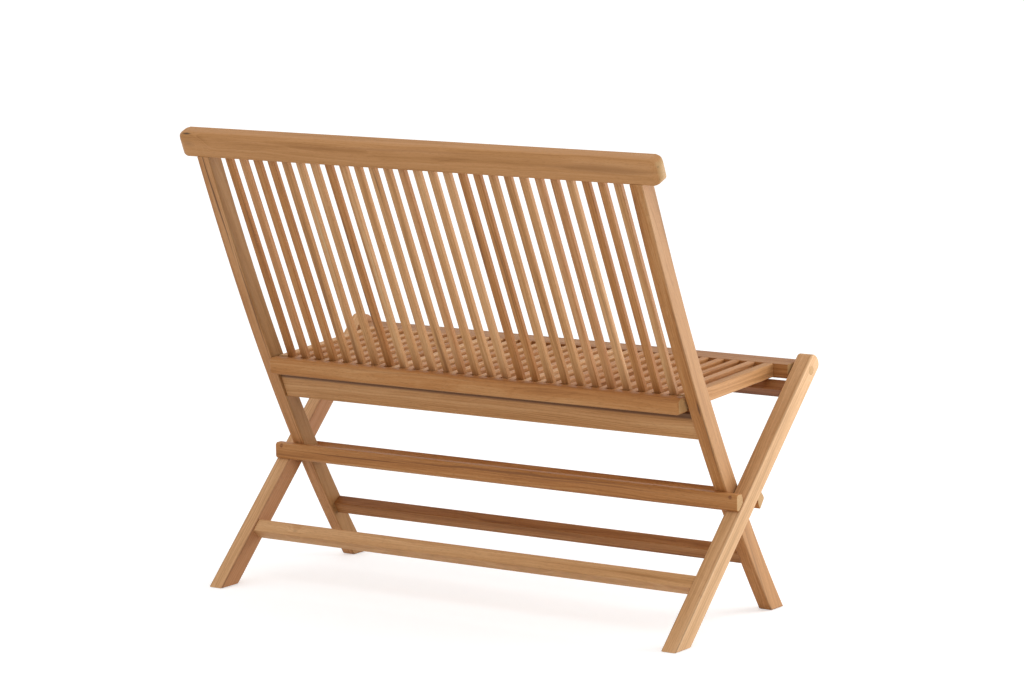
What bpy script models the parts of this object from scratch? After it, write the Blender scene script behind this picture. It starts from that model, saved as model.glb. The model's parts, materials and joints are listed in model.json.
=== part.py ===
"""Folding teak garden bench, built in the open position.

Metres, +Z up.  The width runs along X, the sitter faces -Y, the floor is Z = 0.
Two frames cross like scissors: the legs (front top to rear foot) and the back
(crest rail to front foot).  The seat turns on bolts at the top of the legs and
its rear rail climbs behind the back slats when the bench is closed.
"""
import math

import bpy
import bmesh
import numpy as np

# Fits
FIT = 0.0003            # glued or bolted joint, per side
REST_GAP = 0.00118      # seat rear rail to back slats, bench open
COMB_GAP = 0.00105      # seat slat to back slat, per side
LOW_RAIL_GAP = 0.0016   # seat slats to lower back rail
FRAME_GAP = 0.002       # washer space between stile and leg
SEAT_GAP = 0.0025       # washer space between seat and leg
SIDE_GAP = 0.005        # seat side slat to stile
STOP_GAP = 0.0001       # extra clearance of a stop rail to the frame that lands on it
PEG_END_GAP = 0.0005    # blind end of a peg hole or mortise

# Crossing axis, in the side view (Y, Z)
CROSSING = (-0.03610, 0.2310)

# Legs: straight, outside the back frame
LEG_LEAN = math.radians(45.41)
LEG_DEPTH = 0.036
LEG_THICK = 0.031
SEAT_AXIS_UP = 0.2977   # crossing axis to seat axis, along the leg
LEG_TIP = 0.0312        # seat axis to the rounded tip
LEG_TIP_ROUND = 0.013

# Back frame; the centre line of a stile passes the foot, the crossing and two more points
STILE_OUTER = 0.500
STILE_DEPTH = 0.035
STILE_THICK = 0.0275
STILE_FOOT = (-0.17760, 0.0)
STILE_MIDDLE = (0.10069, 0.500)
STILE_TOP = (0.24525, 0.843)
CREST_TALL = 0.050
CREST_DEPTH = 0.035
CREST_OVERHANG = 0.038
CREST_ROUND = 0.010
CREST_LOW_ROUND = 0.002
CREST_END_ROUND = 0.008
CREST_TENON = 0.028     # tenon of a stile, up into the crest rail
CREST_TENON_DEPTH = 0.022
CREST_TENON_THICK = 0.014

# Back slats
SLAT_COUNT = 27
SLAT_MARGIN = 0.0357    # last slat centre line to the stile
SLAT_WIDE = 0.015
SLAT_THICK = 0.010
SLAT_LEAN = math.atan(0.4336)
SLAT_BEHIND = 0.0143    # slat centre line behind the crossing axis
SLAT_TENON = 0.014
SLAT_TENON_THICK = 0.006
SLAT_SHOULDER = 0.001           # at each side of a slat's tenon
SHOULDER_GAP = 0.0002

# Rails and stretchers
RAIL_TENON = 0.016
TENON_SIDE = 0.20       # shoulder of a tenon, as a share of the rail's height
TENON_FACE = 0.25       # and of its thickness
LOW_RAIL_TALL = 0.0555
LOW_RAIL_THICK = 0.022
STRETCHER_TALL = 0.027
STRETCHER_THICK = 0.025
STRETCHER_DOWN = 0.1936         # crossing axis to the rear stretcher, along the leg
STRETCHER_BACK = 0.0025
SUPPORT_TALL = 0.0229
SUPPORT_THICK = 0.0245
SUPPORT_DOWN = 0.04525          # seat axis to the support rail, along the leg
SUPPORT_FORWARD = 0.00225
FRONT_STRETCHER_TALL = 0.0257
FRONT_STRETCHER_THICK = 0.023
FRONT_STRETCHER_UP = 0.1083     # height of its centre on the stile
FRONT_STRETCHER_FORWARD = 0.0045

# Stop rails in the two angles of the crossing
STOP_SHORT = 0.002      # stop rail end inside the outer face of the leg
REAR_STOP_LOW = 0.0376  # its lower and upper edges on the leg, down from the crossing
REAR_STOP_HIGH = 0.0179
REAR_STOP_REST = 0.0190         # its edges on the stile, above the crossing
REAR_STOP_TOP = 0.0265
REAR_STOP_OUT = 0.0469          # its rear face behind the crossing
FRONT_STOP_LOW = 0.0170         # its edges on the leg, up from the crossing
FRONT_STOP_HIGH = 0.0343
FRONT_STOP_REST = 0.0185        # its edges on the stile, below the crossing
FRONT_STOP_FOOT = 0.0294
FRONT_STOP_NOSE = ((0.0455, 0.0010), (0.0472, -0.0035), (0.0345, -0.0205))   # ahead, up
STOP_CORNER = 0.0038
REAR_PEG_AT = 0.0238    # pegs, from the crossing
FRONT_PEG_AT = 0.0230
REAR_PEG_OUT = 0.0110   # peg length in the rail
FRONT_PEG_OUT = 0.0090
REAR_PEG_IN = 0.0175    # and in the leg or stile
FRONT_PEG_IN = 0.0245

# Seat, measured from the seat axis: rearward along the seat and up from it
SEAT_DROP = math.radians(3.1)
SEAT_THICK = 0.027
FRONT_RAIL_HALF = 0.0275
FRONT_RAIL_NOSE = 0.008
SEAT_SLAT_TALL = 0.026
SEAT_SLAT_BELOW = 0.0002        # slat top below the rail top
SIDE_SLAT_WIDE = 0.020
SEAT_TENON = 0.014
SEAT_TENON_THICK = 0.012
SIDE_TENON_WIDE = 0.010
SIDE_TENON_TALL = 0.008
REAR_RAIL_TALL = 0.034
REAR_RAIL_ROUND = 0.014         # corner that slides on the back slats
REAR_RAIL_HEEL = 0.011
REAR_RAIL_FOOT = 0.003          # both lower corners
REAR_RAIL_BEHIND = 0.0193       # corner centre to the rear face
REAR_RAIL_SHORT = 0.0045        # rail end to the stile
HOUSED = 0.003                  # seat slat end past the corner centre

# Hardware
BOLT_R = 0.004
HEAD_R = 0.0085
HEAD_TALL = 0.0035
HEAD_DOME = ((1.0, 0.55), (0.8, 0.82), (0.35, 1.0))     # shares of its height and radius
BOLT_SHORT = 0.006      # bolt end inside the outer face of the leg
WASHER_R = 0.011
PLUG_R = 0.008
PLUG_THICK = 0.0047
PLUG_BELOW = 0.0001
RECESS = 0.0105
SEAT_BOLT_IN = 0.0275   # seat bolt length in the front rail
SEAT_HEAD_R = 0.0068
SEAT_HEAD_TALL = 0.005
SEAT_HEAD_FACE = 0.0056         # radius of its flat end
SEAT_HEAD_SIDE = 0.004          # height of its straight side
PEG_R = 0.004

EASE = 0.0015           # eased edges of the rails and slats
LEG_EASE = 0.0025
STILE_EASE = 0.002
STOP_EASE = 0.003
LONG_EDGE = 0.05        # edges of rails and slats longer than this are eased
WELD = 0.000001         # merge distance
FLAT = 0.001            # faces that meet within this angle are one flat
ROUND_SIDES = 20
PEG_SIDES = 16
STILE_STEPS = 30

# Widths that follow
STILE_INNER = STILE_OUTER - STILE_THICK
STILE_MID = (STILE_INNER + STILE_OUTER) / 2
LEG_INNER = STILE_OUTER + FRAME_GAP
LEG_OUTER = LEG_INNER + LEG_THICK
LEG_MID = (LEG_INNER + LEG_OUTER) / 2
CREST_HALF = STILE_OUTER + CREST_OVERHANG
FRONT_RAIL_X = LEG_INNER - SEAT_GAP
REAR_RAIL_X = STILE_INNER - REAR_RAIL_SHORT
SIDE_SLAT_X = STILE_INNER - SIDE_GAP - SIDE_SLAT_WIDE / 2
SLAT_PITCH = 2 * (STILE_INNER - SLAT_MARGIN) / (SLAT_COUNT - 1)
SEAT_SLAT_WIDE = SLAT_PITCH - SLAT_WIDE - 2 * COMB_GAP
STILE_CURVE = np.polyfit(*zip(*[(z, y) for y, z in (STILE_FOOT, CROSSING, STILE_MIDDLE, STILE_TOP)]), 3)
SIDES = ((-1, "right"), (1, "left"))


# Timber lines of the side view

class Line:
    """A timber's own frame: up along it and back across it give (Y, Z)."""

    def __init__(self, origin, lean):
        self.origin = origin
        self.lean = lean

    def at(self, up, back):
        s, c = math.sin(self.lean), math.cos(self.lean)
        return (self.origin[0] + s * up + c * back, self.origin[1] + c * up - s * back)


def stile_line(z):
    """Line of the bowed stile at height z."""
    middle = (float(np.polyval(STILE_CURVE, z)), z)
    return Line(middle, math.atan(np.polyval(np.polyder(STILE_CURVE), z)))


LEG = Line(CROSSING, -LEG_LEAN)
SLAT = Line(Line(CROSSING, SLAT_LEAN).at(0.0, SLAT_BEHIND), SLAT_LEAN)
CREST = stile_line(STILE_TOP[1])
LOW_STILE = stile_line(FRONT_STRETCHER_UP)
SEAT = Line(LEG.at(SEAT_AXIS_UP, 0.0), SEAT_DROP)
SEAT_TOP = SEAT_THICK / 2


def behind_slats(point):
    """Distance of a point behind the slats' centre line."""
    y, z = point[0] - CROSSING[0], point[1] - CROSSING[1]
    return math.cos(SLAT_LEAN) * y - math.sin(SLAT_LEAN) * z - SLAT_BEHIND


def above_seat_axis(point):
    """Height of a point over the seat axis, square to the seat."""
    y, z = point[0] - SEAT.origin[0], point[1] - SEAT.origin[1]
    return math.sin(SEAT_DROP) * y + math.cos(SEAT_DROP) * z


def meets(measure, wanted):
    """Where a measure that changes evenly along a line reaches the wanted value."""
    start, step = measure(0.0), measure(1.0)
    return (wanted - start) / (step - start)


# The rear rail's round corner lies against the slats, and the low rail lies under the seat
CORNER_BACK = meets(lambda back: behind_slats(SEAT.at(SEAT_TOP - REAR_RAIL_ROUND, back)),
                    SLAT_THICK / 2 + REAR_RAIL_ROUND + REST_GAP)
SEAT_SLAT_TOP = SEAT_TOP - SEAT_SLAT_BELOW
SEAT_SLAT_LOW = SEAT_SLAT_TOP - SEAT_SLAT_TALL
SEAT_SLAT_MID = (SEAT_SLAT_TOP + SEAT_SLAT_LOW) / 2
LOW_RAIL_TOP = meets(lambda up: above_seat_axis(SLAT.at(up, -LOW_RAIL_THICK / 2)),
                     SEAT_SLAT_LOW - LOW_RAIL_GAP)
SLAT_TOP = meets(lambda up: SLAT.at(up, 0.0)[1], STILE_TOP[1]) - 2 * FIT


# Outlines, as lists of (Y, Z)

def section(middle, tall, offset, thick):
    """Limits of a rail's section: low, high, front, back."""
    return (middle - tall / 2, middle + tall / 2, offset - thick / 2, offset + thick / 2)


def grow(limits, by):
    low, high, front, back = limits
    return (low - by, high + by, front - by, back + by)


def arc(centre_a, centre_b, radius, start, end, steps):
    """Points of an arc, angles in degrees."""
    out = []
    for i in range(steps + 1):
        a = math.radians(start + (end - start) * i / steps)
        out.append((centre_a + radius * math.cos(a), centre_b + radius * math.sin(a)))
    return out


def leg_outline():
    half = LEG_DEPTH / 2
    foot = -CROSSING[1] / math.cos(LEG_LEAN)
    level_cut = half * math.tan(LEG_LEAN)
    shoulder = SEAT_AXIS_UP + LEG_TIP - LEG_TIP_ROUND
    tip = [LEG.at(shoulder + LEG_TIP_ROUND * up, half * back) for back, up in arc(0, 0, 1, 180, 0, 10)]
    return [LEG.at(foot + level_cut, -half)] + tip + [LEG.at(foot - level_cut, half)]


def above_floor(points):
    """The run of points above the floor, with the point where it leaves the floor."""
    out = []
    for (y0, z0), (y1, z1) in zip(points, points[1:]):
        if z0 < 0 <= z1:
            out.append((y0 + (y1 - y0) * z0 / (z0 - z1), 0.0))
        if z1 >= 0:
            out.append((y1, z1))
    return out


def stile_outline():
    heights = np.linspace(-STILE_DEPTH, STILE_TOP[1], STILE_STEPS)
    front = above_floor([stile_line(z).at(0.0, -STILE_DEPTH / 2) for z in heights])
    rear = above_floor([stile_line(z).at(0.0, STILE_DEPTH / 2) for z in heights])
    return front + rear[::-1]


def rear_rail_outline():
    """Seat rear rail; its upper front corner is an arc about the sliding contact's centre."""
    low, rear = SEAT_TOP - REAR_RAIL_TALL, CORNER_BACK + REAR_RAIL_BEHIND
    r, q, foot = REAR_RAIL_ROUND, REAR_RAIL_HEEL, REAR_RAIL_FOOT
    corners = (arc(CORNER_BACK - r + foot, low + foot, foot, 270, 180, 2)
               + arc(CORNER_BACK, SEAT_TOP - r, r, 180, 90, 7)
               + arc(rear - q, SEAT_TOP - q, q, 90, 0, 5)
               + arc(rear - foot, low + foot, foot, 0, -90, 2))
    return [SEAT.at(up, back) for back, up in corners]


def front_rail_outline():
    half, top, r = FRONT_RAIL_HALF, SEAT_TOP, FRONT_RAIL_NOSE
    corners = (arc(-half + r, -top + r, r, 270, 180, 4) + arc(-half + r, top - r, r, 180, 90, 4)
               + [(half - EASE, top), (half, top - EASE), (half, EASE - top), (half - EASE, -top)])
    return [SEAT.at(up, back) for back, up in corners]


def rear_stop_outline():
    """Wedge in the rear angle of the crossing, its rear corners cut off."""
    leg_face, stile_face = LEG_DEPTH / 2 + FIT, STILE_DEPTH / 2 + FIT + STOP_GAP
    low, high = LEG.at(-REAR_STOP_LOW, leg_face), LEG.at(-REAR_STOP_HIGH, leg_face)
    rest, top = (stile_line(CROSSING[1] + up).at(0.0, stile_face)
                 for up in (REAR_STOP_REST, REAR_STOP_TOP))
    out, cut = CROSSING[0] + REAR_STOP_OUT, STOP_CORNER
    return [low, high, rest, top, (out - cut, top[1]), (out, top[1] - cut), (out, low[1] + cut),
            (out - cut, low[1])]


def front_stop_outline():
    """Wedge in the front angle of the crossing, its lower front corner cut off."""
    leg_face, stile_face = -LEG_DEPTH / 2 - FIT - STOP_GAP, -STILE_DEPTH / 2 - FIT
    low, high = LEG.at(FRONT_STOP_LOW, leg_face), LEG.at(FRONT_STOP_HIGH, leg_face)
    rest, foot = (stile_line(CROSSING[1] - down).at(0.0, stile_face)
                  for down in (FRONT_STOP_REST, FRONT_STOP_FOOT))
    nose = [(CROSSING[0] - ahead, CROSSING[1] + up) for ahead, up in FRONT_STOP_NOSE]
    return [rest, low, high] + nose + [foot]


# Scene helpers

def clear_scene():
    for ob in list(bpy.data.objects):
        bpy.data.objects.remove(ob, do_unlink=True)
    for group in list(bpy.data.collections):
        bpy.data.collections.remove(group)


def collection(name):
    group = bpy.data.collections.new(name)
    bpy.context.scene.collection.children.link(group)
    return group


def material(name, rgb, rough, metal):
    paint = bpy.data.materials.new(name + "_finish")
    paint.use_nodes = True
    shader = paint.node_tree.nodes["Principled BSDF"]
    shader.inputs["Base Color"].default_value = (*rgb, 1)
    shader.inputs["Roughness"].default_value = rough
    shader.inputs["Metallic"].default_value = metal
    paint.diffuse_color = (*rgb, 1)
    return paint


def teak_shade(i):
    """Teak shades that differ a little from piece to piece."""
    k = (i * 0.37) % 1.0
    return (0.36 + 0.12 * k, 0.19 + 0.07 * k, 0.08 + 0.035 * k)


def span(side, near, far):
    """X limits on one side of the bench, in rising order."""
    return sorted((side * near, side * far))


def around(x, wide):
    return (x - wide / 2, x + wide / 2)


def mesh_object(name, bm, group):
    """New object from a finished bmesh."""
    mesh = bpy.data.meshes.new(name)
    bm.to_mesh(mesh)
    bm.free()
    ob = bpy.data.objects.new(name, mesh)
    group.objects.link(ob)
    return ob


def box(name, line, limits, across, group, work=None):
    """Box along a timber line, from its limits (low, high, front, back) and its X limits.

    work(bm) shapes it further while it is still square to its own axes.
    """
    low, high, front, back = limits
    bm = bmesh.new()
    bmesh.ops.create_cube(bm, size=1.0)
    bmesh.ops.scale(bm, vec=(across[1] - across[0], back - front, high - low), verts=bm.verts)
    if work:
        work(bm)
    ob = mesh_object(name, bm, group)
    ob.location = (sum(across) / 2, *line.at((low + high) / 2, (front + back) / 2))
    ob.rotation_euler.x = -line.lean
    return ob


def add_tenon(bm, axis, end, shoulders, length):
    """Steps one end of a box in by its shoulders and draws it out to a tenon."""
    face = max(bm.faces, key=lambda f: end * f.calc_center_median()[axis])
    face = bmesh.ops.extrude_discrete_faces(bm, faces=[face])["faces"][0]
    for v in face.verts:
        v.co = [c - math.copysign(s, c) for c, s in zip(v.co, shoulders)]
    face = bmesh.ops.extrude_discrete_faces(bm, faces=[face])["faces"][0]
    way = [end * length if i == axis else 0.0 for i in range(3)]
    bmesh.ops.translate(bm, vec=way, verts=face.verts)


def ease_long_edges(bm, width, segments):
    edges = [e for e in bm.edges if e.calc_length() > LONG_EDGE]
    bmesh.ops.bevel(bm, geom=edges, offset=width, segments=segments, profile=0.5, affect="EDGES")


def extruded(name, outline, across, group, origin=(0.0, 0.0)):
    """Flat outline of the side view drawn out between X limits, as a mesh."""
    curve = bpy.data.curves.new(name, "CURVE")
    curve.dimensions = "2D"
    curve.fill_mode = "BOTH"
    curve.extrude = (across[1] - across[0]) / 2
    edge = curve.splines.new("POLY")
    edge.points.add(len(outline) - 1)
    for point, (y, z) in zip(edge.points, outline):
        point.co = (y - origin[0], z - origin[1], 0, 1)
    edge.use_cyclic_u = True
    drawn = bpy.data.objects.new(name, curve)
    drawn.location = (sum(across) / 2, *origin)
    drawn.rotation_euler = (math.pi / 2, 0, math.pi / 2)
    group.objects.link(drawn)
    bpy.context.view_layer.update()
    solid = bpy.data.meshes.new_from_object(drawn.evaluated_get(bpy.context.evaluated_depsgraph_get()))
    place = drawn.matrix_world.copy()
    bpy.data.objects.remove(drawn)
    bpy.data.curves.remove(curve)
    bm = bmesh.new()
    bm.from_mesh(solid)
    bpy.data.meshes.remove(solid)
    bmesh.ops.remove_doubles(bm, verts=bm.verts, dist=WELD)
    bmesh.ops.dissolve_limit(bm, angle_limit=FLAT, verts=bm.verts, edges=bm.edges)
    bmesh.ops.recalc_face_normals(bm, faces=bm.faces)
    ob = mesh_object(name, bm, group)
    ob.matrix_world = place
    return ob


def bevelled(ob, width_of, segments=1):
    """Bevels each edge by the width that width_of(a, b) gives for its ends."""
    mesh = ob.data
    widths = [width_of(*(mesh.vertices[i].co for i in e.vertices)) for e in mesh.edges]
    weight = mesh.attributes.new("bevel_weight_edge", "FLOAT", "EDGE")
    weight.data.foreach_set("value", [w / max(widths) for w in widths])
    m = ob.modifiers.new("eased_edges", "BEVEL")
    m.limit_method = "WEIGHT"
    m.width = max(widths)
    m.segments = segments
    return ob


def rims(width):
    """Width of the edges round both end faces of an extruded outline."""
    return lambda a, b: width if abs(a.z - b.z) < WELD else 0.0


def cylinder(name, centre, turn, length, radius, group, sides=ROUND_SIDES):
    bm = bmesh.new()
    bmesh.ops.create_cone(bm, cap_ends=True, segments=sides, radius1=radius, radius2=radius, depth=length)
    for face in bm.faces:
        face.smooth = len(face.verts) == 4
    ob = mesh_object(name, bm, group)
    ob.location = centre
    ob.rotation_euler = turn
    return ob


def dowel(name, at, near, far, radius, side, group):
    """Cylinder along X on one side of the bench."""
    centre = (side * (near + far) / 2, *at)
    return cylinder(name, centre, (0, math.pi / 2, 0), far - near, radius, group)


def peg(name, x, line, up, limits, radius, group):
    """Cylinder square to a timber line, between two distances behind it."""
    centre = (x, *line.at(up, sum(limits) / 2))
    turn = (-line.lean - math.pi / 2, 0, 0)
    return cylinder(name, centre, turn, limits[1] - limits[0], radius, group, PEG_SIDES)


def turned(name, at, profile, side, group, ring=False):
    """Round piece about an X axis, from (x, radius) pairs that a Screw turns."""
    bm = bmesh.new()
    verts = [bm.verts.new((side * x, 0, r)) for x, r in profile]
    for a, b in zip(verts, verts[1:] + verts[:1] if ring else verts[1:]):
        bm.edges.new((a, b))
    ob = mesh_object(name, bm, group)
    ob.location = (0, *at)
    m = ob.modifiers.new("turned", "SCREW")
    m.axis = "X"
    m.steps = ROUND_SIDES
    m.render_steps = ROUND_SIDES
    m.use_merge_vertices = True
    m.merge_threshold = WELD
    m.use_normal_flip = side > 0
    return ob


def boolean(ob, tool, kind="DIFFERENCE"):
    m = ob.modifiers.new(kind.lower() + "_" + tool.name, "BOOLEAN")
    m.operation = kind
    m.solver = "EXACT"
    m.object = tool


def as_cutter(tool):
    tool.hide_render = True
    tool.display_type = "WIRE"
    return tool


def joined(name, parts, group):
    """One cutter object holding several separate closed bodies."""
    bm = bmesh.new()
    for ob in parts:
        mesh = ob.data.copy()
        mesh.transform(ob.matrix_basis)
        bm.from_mesh(mesh)
        bpy.data.meshes.remove(mesh)
        bpy.data.objects.remove(ob, do_unlink=True)
    return as_cutter(mesh_object(name, bm, group))


# The bench

class Bench:
    def __init__(self):
        clear_scene()
        self.parts = collection("folding_teak_bench")
        self.cuts = collection("cutters")
        self.count = 0
        self.bodies = {name: self.pivot(name, at) for name, at in (
            ("leg_frame", CROSSING), ("back_frame", CROSSING), ("seat", SEAT.origin))}

    def pivot(self, name, at):
        """Empty on a joint's axis that carries the pieces of one moving body."""
        empty = bpy.data.objects.new(name, None)
        empty.location = (0, *at)
        self.parts.objects.link(empty)
        return empty

    def finish(self, ob, body, rgb=None, rough=0.55, metal=0.0):
        """Gives a piece its finish and hangs it, with its cutters, on its body's pivot."""
        self.count += 1
        ob.data.materials.append(material(ob.name, rgb or teak_shade(self.count), rough, metal))
        tools = [m.object for m in ob.modifiers if m.type == "BOOLEAN"]
        for piece in [ob] + [tool for tool in tools if not tool.parent]:
            piece.location -= self.bodies[body].location
            piece.parent = self.bodies[body]

    def bore(self, at, near, far, radius, side):
        """Cutter for a round part of this radius."""
        return dowel("bore", at, near, far, radius + FIT, side, self.cuts)

    def rail(self, name, line, limits, face, body, slots=None):
        """Rail between two side members, tenoned at each end; returns its mortise cutter."""
        low, high, front, back = limits
        thinner, lower = (back - front) * TENON_FACE, (high - low) * TENON_SIDE

        def work(bm):
            for end in (-1, 1):
                add_tenon(bm, 0, end, (0.0, thinner, lower), RAIL_TENON)
            ease_long_edges(bm, EASE, 2)

        ob = box(name, line, limits, (FIT - face, face - FIT), self.parts, work)
        hole = grow((low + lower, high - lower, front + thinner, back - thinner), FIT)
        inner, outer = face - RAIL_TENON / 2, face + RAIL_TENON + PEG_END_GAP
        tools = [box("mortise", line, hole, span(side, inner, outer), self.cuts) for side, _ in SIDES]
        if slots:
            boolean(ob, slots)
        self.finish(ob, body)
        return joined(name + "_mortises", tools, self.cuts)

    def stop_rail(self, name, word, outline, x, line, up, limits, body):
        """Stop rail with a blind peg at each end, and the cutter of its peg holes."""
        half = LEG_OUTER - STOP_SHORT
        rail = bevelled(extruded(name, outline, (-half, half), self.parts, CROSSING), rims(STOP_EASE), 2)
        hole = (limits[0] - PEG_END_GAP, limits[1] + PEG_END_GAP)
        holes = [peg("hole", side * x, line, up, hole, PEG_R + FIT, self.cuts) for side, _ in SIDES]
        tool = joined(word + "_peg_holes", holes, self.cuts)
        for side, end in SIDES:
            self.finish(peg(f"{word}_peg_{end}", side * x, line, up, limits, PEG_R, self.parts), body)
        boolean(rail, tool)
        self.finish(rail, body)
        return tool

    # Leg frame

    def leg_frame(self):
        low_cut = self.rail(
            "rear_stretcher", LEG,
            section(-STRETCHER_DOWN, STRETCHER_TALL, STRETCHER_BACK, STRETCHER_THICK),
            LEG_INNER, "leg_frame")
        high_cut = self.rail(
            "seat_support_rail", LEG,
            section(SEAT_AXIS_UP - SUPPORT_DOWN, SUPPORT_TALL, -SUPPORT_FORWARD, SUPPORT_THICK),
            LEG_INNER, "leg_frame")
        pegs = self.stop_rail("rear_stop_rail", "rear_stop", rear_stop_outline(), LEG_MID, LEG, -REAR_PEG_AT,
                              (LEG_DEPTH / 2 - REAR_PEG_IN, LEG_DEPTH / 2 + REAR_PEG_OUT), "leg_frame")
        tools = [low_cut, high_cut, pegs, *self.leg_bores()]
        for side, word in SIDES:
            across = span(side, LEG_INNER, LEG_OUTER)
            leg = extruded(f"leg_{word}", leg_outline(), across, self.parts, CROSSING)
            bevelled(leg, rims(LEG_EASE), 2)
            for tool in tools:
                boolean(leg, tool)
            self.finish(leg, "leg_frame")

    def leg_bores(self):
        """Bolt holes at the crossing and at the seat, and the recesses over the seat bolts."""
        inside = LEG_INNER - LEG_THICK / 2
        floor, outside = LEG_OUTER - RECESS, LEG_OUTER + RECESS
        bolts, recesses = [], []
        for side, _ in SIDES:
            end = LEG_OUTER - BOLT_SHORT + PEG_END_GAP
            bolts.append(self.bore(CROSSING, inside, end, BOLT_R, side))
            bolts.append(self.bore(SEAT.origin, inside, floor + RECESS / 2, BOLT_R, side))
            recesses.append(self.bore(SEAT.origin, floor, outside, PLUG_R, side))
        return joined("leg_bores", bolts, self.cuts), joined("plug_recesses", recesses, self.cuts)

    # Back frame

    def back_frame(self):
        low_cut = self.rail(
            "lower_back_rail", SLAT,
            (LOW_RAIL_TOP - LOW_RAIL_TALL, LOW_RAIL_TOP, -LOW_RAIL_THICK / 2, LOW_RAIL_THICK / 2),
            STILE_INNER, "back_frame", self.slat_mortises("low_rail_slat_mortises", LOW_RAIL_TOP))
        front_cut = self.rail(
            "front_stretcher", LOW_STILE,
            section(0.0, FRONT_STRETCHER_TALL, -FRONT_STRETCHER_FORWARD, FRONT_STRETCHER_THICK),
            STILE_INNER, "back_frame")
        front = -STILE_DEPTH / 2
        pegs = self.stop_rail("front_stop_rail", "front_stop", front_stop_outline(), STILE_MID,
                              stile_line(CROSSING[1] - FRONT_PEG_AT), 0.0,
                              (front - FRONT_PEG_OUT, front + FRONT_PEG_IN), "back_frame")
        inside, outside = STILE_INNER - STILE_THICK, STILE_OUTER + STILE_THICK
        bores = [self.bore(CROSSING, inside, outside, BOLT_R, side) for side, _ in SIDES]
        tools = (low_cut, front_cut, pegs, joined("stile_bores", bores, self.cuts))
        for side, word in SIDES:
            across = span(side, STILE_INNER, STILE_OUTER)
            stile = extruded(f"stile_{word}", stile_outline(), across, self.parts, CROSSING)
            bevelled(stile, rims(STILE_EASE), 2)
            tenon = self.crest_tenon(f"crest_tenon_{word}", side, -CREST_TENON_DEPTH / 2, 0.0)
            boolean(stile, as_cutter(tenon), "UNION")
            for tool in tools:
                boolean(stile, tool)
            self.finish(stile, "back_frame")
        self.back_slats()
        self.crest()

    def crest_tenon(self, name, side, root, slack):
        """Tenon on top of a stile, or with slack the cutter of its mortise."""
        deep, thick = CREST_TENON_DEPTH / 2 + slack, CREST_TENON_THICK / 2 + slack
        return box(name, CREST, (root, CREST_TENON + slack, -deep, deep),
                   span(side, STILE_MID - thick, STILE_MID + thick), self.cuts)

    def slat_places(self):
        return [(i - (SLAT_COUNT - 1) / 2) * SLAT_PITCH for i in range(SLAT_COUNT)]

    def back_slats(self):
        """Straight slats with a thinner tenon at each end."""
        shoulders = (SLAT_SHOULDER, (SLAT_THICK - SLAT_TENON_THICK) / 2, 0.0)

        def work(bm):
            for end in (-1, 1):
                add_tenon(bm, 2, end, shoulders, SLAT_TENON)
            ease_long_edges(bm, EASE, 1)

        limits = (LOW_RAIL_TOP + SHOULDER_GAP, SLAT_TOP, -SLAT_THICK / 2, SLAT_THICK / 2)
        for i, x in enumerate(self.slat_places()):
            slat = box(f"back_slat_{i + 1:02d}", SLAT, limits, around(x, SLAT_WIDE), self.parts, work)
            self.finish(slat, "back_frame")

    def slat_mortises(self, name, level):
        """Cutter for the slat tenons that enter a rail at this level."""
        deep = SLAT_TENON + 2 * PEG_END_GAP
        thick, wide = SLAT_TENON_THICK + 2 * FIT, SLAT_WIDE + 2 * (FIT - SLAT_SHOULDER)
        limits = section(level, 2 * deep, 0.0, thick)
        tools = [box("mortise", SLAT, limits, around(x, wide), self.cuts) for x in self.slat_places()]
        return joined(name, tools, self.cuts)

    def crest(self):
        rail = box("crest_rail", CREST, (FIT, CREST_TALL, -CREST_DEPTH / 2, CREST_DEPTH / 2),
                   (-CREST_HALF, CREST_HALF), self.parts)

        def width_of(a, b):
            if abs(a.x - b.x) < LONG_EDGE:
                return CREST_END_ROUND
            return CREST_ROUND if a.z > 0 else CREST_LOW_ROUND

        bevelled(rail, width_of, 4)
        boolean(rail, self.slat_mortises("crest_slat_mortises", SLAT_TOP))
        tenons = [self.crest_tenon("tenon", side, -CREST_TENON, FIT) for side, _ in SIDES]
        boolean(rail, joined("crest_tenon_mortises", tenons, self.cuts))
        self.finish(rail, "back_frame")

    # Seat

    def seat(self):
        places = self.slat_places()
        inner = [(a + b) / 2 for a, b in zip(places, places[1:])]
        comb = self.seat_comb(inner)
        self.seat_front(inner)
        self.side_slats(comb)
        self.finish(comb, "seat")

    def seat_slat(self, name, x, wide, rear_end, group, rear_shoulders=None):
        """Seat slat with a tenon into the front rail, and at the rear one where shoulders are given."""
        front_shoulders = (SLAT_SHOULDER, 0.0, (SEAT_SLAT_TALL - SEAT_TENON_THICK) / 2)

        def work(bm):
            add_tenon(bm, 1, -1, front_shoulders, SEAT_TENON)
            if rear_shoulders:
                add_tenon(bm, 1, 1, rear_shoulders, SEAT_TENON)
            ease_long_edges(bm, EASE, 1)

        limits = (SEAT_SLAT_LOW, SEAT_SLAT_TOP, FRONT_RAIL_HALF + FIT, rear_end)
        return box(name, SEAT, limits, around(x, wide), group, work)

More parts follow.
